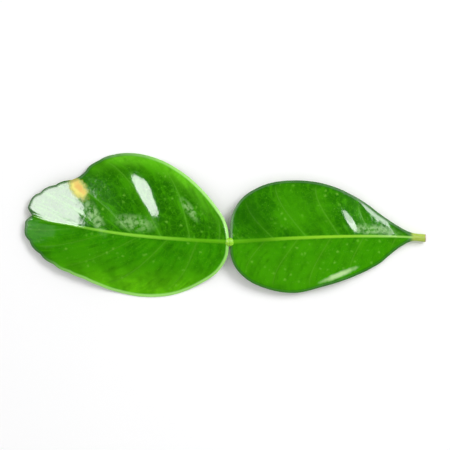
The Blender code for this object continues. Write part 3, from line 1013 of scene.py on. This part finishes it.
# %% [markdown]
# Blade and winged stalk
#
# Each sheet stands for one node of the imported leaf, so it replaces that node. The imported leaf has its
# origin under the middle of its box, and the formulas have theirs at the joint. The offset between the two
# could be typed in, but it is measured from both outlines, so it follows any change to them.

# %% from the joint to the origin
OUTLINE_DOTS = 2001
dots = np.linspace(0, 1, OUTLINE_DOTS)
outline = [
    surface(dots, np.full(len(dots), side))[0]
    for surface in (blade_surface, stalk_surface)
    for side in (-1.0, 1.0)
]
corners = np.concatenate(outline)
offset = -(corners.min(axis=0) + corners.max(axis=0)) / 2
print("offset from joint to origin, mm:", offset.round(3))

# %% the blade
BLADE_ROWS, BLADE_COLUMNS = 240, 66
blade = leaf_sheet(
    "blade", blade_surface, BLADE_ROWS, BLADE_COLUMNS, offset, [blade_upper, blade_lower]
)
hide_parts("leaf_blade")

# %% the winged stalk
STALK_ROWS, STALK_COLUMNS = 230, 60
wings = leaf_sheet(
    "winged_leaf_stalk", stalk_surface, STALK_ROWS, STALK_COLUMNS, offset, [stalk_upper, stalk_lower]
)
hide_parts("winged_stalk")

# %% [markdown]
# The joint
#
# Where blade and stalk meet, a real leaf has a small swollen collar with a fine ring in it, along which the
# blade breaks off in the end. A squashed sphere would also hide the seam between the two sheets, but it
# would have no ring. So one side's profile is spun round the rib's direction, which gives an even ring.

# %% the collar's skin
COLLAR_GREEN, COLLAR_PALE, COLLAR_RING = paint(136, 210, 26), paint(158, 224, 44), paint(112, 160, 24)
COLLAR_FIBRES, COLLAR_EDGE = (0.4, 3.0, 3.0), (0.4, 0.65)
RING_EDGE, COLLAR_BELOW = (0.03, 0.12), (3.9, 4.4)
COLLAR_ROUGHNESS, COLLAR_UNEVEN, COLLAR_CLOUD_SIZE = 0.3, 0.15, 0.8
COLLAR_GRAIN, COLLAR_GRAIN_SIZE, COLLAR_BUMP = 0.03, 0.6, 0.8
JOINT_X = -0.9


def collar_skin():
    """Fresh green with fibres and a fine ring, paler below as the ribs are."""
    material, skin, place = new_skin("collar skin")
    fibres = skin.node("ShaderNodeMapping", {}, {"Vector": place, "Scale": COLLAR_FIBRES})
    colour = tint(rising(cloud(fibres, FIBRE_SIZE), *COLLAR_EDGE), COLLAR_GREEN, COLLAR_PALE)
    ring = falling(abs(part_of(place, "X") - (JOINT_X + offset[0])), *RING_EDGE)
    colour = tint(ring * 0.6, colour, COLLAR_RING)
    colour = tint(falling(part_of(place, "Z"), *COLLAR_BELOW), colour, UNDER_RIB)
    roughness = COLLAR_ROUGHNESS + COLLAR_UNEVEN * cloud(place, COLLAR_CLOUD_SIZE)
    normal = bump(skin, cloud(fibres, COLLAR_GRAIN_SIZE) * COLLAR_GRAIN, COLLAR_BUMP)
    feed_shader(skin, {"Base Color": colour, "Roughness": roughness, "Normal": normal})
    print("collar skin nodes:", len(skin.tree.nodes))
    return material


collar_green = collar_skin()

# %% the collar between blade and stalk
COLLAR_PROFILE = [
    (-1.6, 0.0), (-1.5, 0.6), (-1.1, 1.05), (-0.6, 1.28), (-0.14, 1.34), (0.0, 1.24),
    (0.14, 1.34), (0.6, 1.28), (1.1, 1.05), (1.5, 0.6), (1.6, 0.0),
]
COLLAR_STEPS, COLLAR_HEIGHT_SHARE, COLLAR_DROP = 32, 0.8, 0.25
COLLAR_WELD = 1e-4


def joint_collar(skin):
    body = bmesh.new()
    profile = [body.verts.new((x, radius, 0)) for x, radius in COLLAR_PROFILE]
    edges = [body.edges.new(pair) for pair in zip(profile, profile[1:])]
    bmesh.ops.spin(
        body, geom=profile + edges, cent=(0, 0, 0), axis=(1, 0, 0), angle=math.tau,
        steps=COLLAR_STEPS, use_merge=True,
    )
    bmesh.ops.remove_doubles(body, verts=body.verts, dist=COLLAR_WELD)
    bmesh.ops.scale(body, verts=body.verts, vec=(1, 1, COLLAR_HEIGHT_SHARE))
    centre = (JOINT_X + offset[0], offset[1], JOINT_HEIGHT - COLLAR_DROP)
    bmesh.ops.translate(body, verts=body.verts, vec=centre)
    bmesh.ops.scale(body, verts=body.verts, vec=(MM, MM, MM))
    bmesh.ops.recalc_face_normals(body, faces=body.faces)
    return finished_piece("joint_collar", body, [skin])


collar = joint_collar(collar_green)

# %% [markdown]
# Table, lights and camera
#
# The photograph looks straight down on white. A wide white floor gives that, with an even white sky as
# fill. Wax shows whatever is bright above it, so the sky is kept out of reflections and the greens stay
# deep. A single large light would make one broad sheen. Here each reflection has a softbox of its own, held
# where the wax mirrors it to the camera: a window for the bright patch at the tip and the slanting streak,
# four thin steps below it that soften its border, and a lamp for the marks on the wing. Only the key light
# also lights the table and the leaf itself.

# %% the white table
FLOOR_WHITE, FLOOR_PALE = (0.97, 0.97, 0.975, 1.0), (0.985, 0.985, 0.985, 1.0)
FLOOR_HALF, FLOOR_BLOTCH = 1.5, 60.0
FLOOR_ROUGHNESS, FLOOR_SPECULAR = 0.9, 0.1


def white_table():
    body = bmesh.new()
    bmesh.ops.create_grid(body, x_segments=1, y_segments=1, size=FLOOR_HALF)
    mesh = bpy.data.meshes.new("floor")
    body.to_mesh(mesh)
    body.free()
    material, skin, place = new_skin("white table")
    shader = feed_shader(skin, {"Base Color": tint(cloud(place, FLOOR_BLOTCH), FLOOR_WHITE, FLOOR_PALE)})
    shader.inputs["Roughness"].default_value = FLOOR_ROUGHNESS
    shader.inputs["Specular IOR Level"].default_value = FLOOR_SPECULAR
    mesh.materials.append(material)
    floor = bpy.data.objects.new("floor", mesh)
    bpy.context.scene.collection.objects.link(floor)
    print("table, metres across:", 2 * FLOOR_HALF)


white_table()

# %% the sky
SKY_STRENGTH = 0.69
world = bpy.data.worlds.new("white sky")
bpy.context.scene.world = world
world.use_nodes = True
background = world.node_tree.nodes["Background"]
background.inputs["Color"].default_value = (1.0, 1.0, 1.0, 1.0)
background.inputs["Strength"].default_value = SKY_STRENGTH
world.cycles_visibility.glossy = False
bpy.context.scene.view_settings.view_transform = "Standard"
print("sky strength:", SKY_STRENGTH)

# %% the softboxes
SOFTBOX_HEIGHT = 0.8
KEY_GLOW, WINDOW_GLOW, SILL_GLOW, LAMP_GLOW = 7.9, 11.0, 0.4, 12.0
SILL_INNER_EDGES = (-32, -34, -36, -38)


def softbox(name, across, up, glow, lights_table=False):
    """A level light that spans these angles from straight above, towards +X and towards +Y."""
    left, right, low, high = [SOFTBOX_HEIGHT * math.tan(math.radians(angle)) for angle in (*across, *up)]
    data = bpy.data.lights.new(name, "AREA")
    data.shape, data.size, data.size_y = "RECTANGLE", right - left, high - low
    data.energy = math.pi * data.size * data.size_y * glow
    light = bpy.data.objects.new(name, data)
    light.location = ((left + right) / 2, (low + high) / 2, SOFTBOX_HEIGHT)
    light.visible_diffuse = lights_table
    bpy.context.scene.collection.objects.link(light)
    print(name, "mm:", round(data.size / MM), "by", round(data.size_y / MM))


softbox("key", (26, 53), (15, 50), KEY_GLOW, lights_table=True)
softbox("window", (-48, -17.0), (3.5, 36), WINDOW_GLOW)
softbox("window_top", (-32, -18.5), (36, 40), WINDOW_GLOW)
for inner_edge in SILL_INNER_EDGES:
    softbox(f"sill_{-inner_edge}", (-46, inner_edge), (-16, 3.5), SILL_GLOW)
softbox("lamp", (24, 34), (1, 18), LAMP_GLOW)

# %% the camera
LENS, FRAME_WIDTH, SENSOR = 150.0, 136.0, 36.0
lens_data = bpy.data.cameras.new("photo view")
lens_data.lens, lens_data.sensor_width = LENS, SENSOR
camera = bpy.data.objects.new("photo view", lens_data)
camera.location = (0, 0, FRAME_WIDTH * MM * LENS / SENSOR)
bpy.context.scene.collection.objects.link(camera)
bpy.context.scene.camera = camera
print("camera height, mm:", round(camera.location.z / MM))
